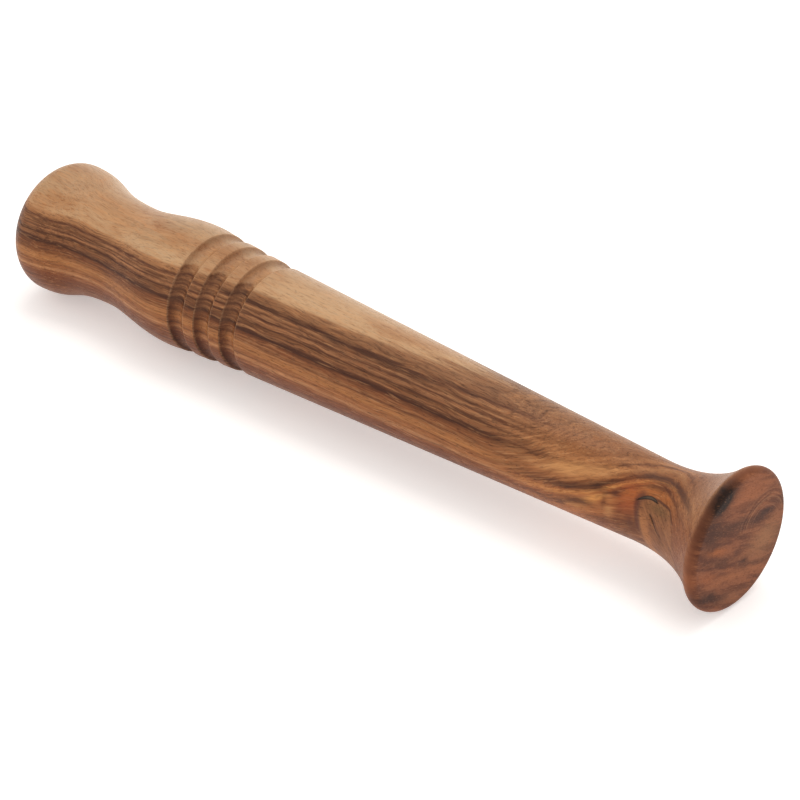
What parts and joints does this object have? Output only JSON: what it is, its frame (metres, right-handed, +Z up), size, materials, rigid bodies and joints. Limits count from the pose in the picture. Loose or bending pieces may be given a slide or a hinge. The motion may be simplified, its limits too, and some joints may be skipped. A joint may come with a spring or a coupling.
{
  "type": "bar muddler",
  "caption": "Turned wooden bar muddler with a rounded pommel, a waisted grip with cut coves, a tapering shaft and a flared head with a flat working face.",
  "frame": {"origin": "on the surface the muddler lies on, under the middle of its bounding box", "axes": "+X along the muddler from the pommel to the working face, +Z up from the surface it lies on, +Y across it"},
  "size_m": [0.24, 0.038, 0.038],
  "materials": {
    "oiled_wood": "satin oiled, figured brown heartwood with a paler upper side"
  },
  "bodies": {
    "root": {"muddler_body": "oiled_wood"}
  },
  "joints": []
}
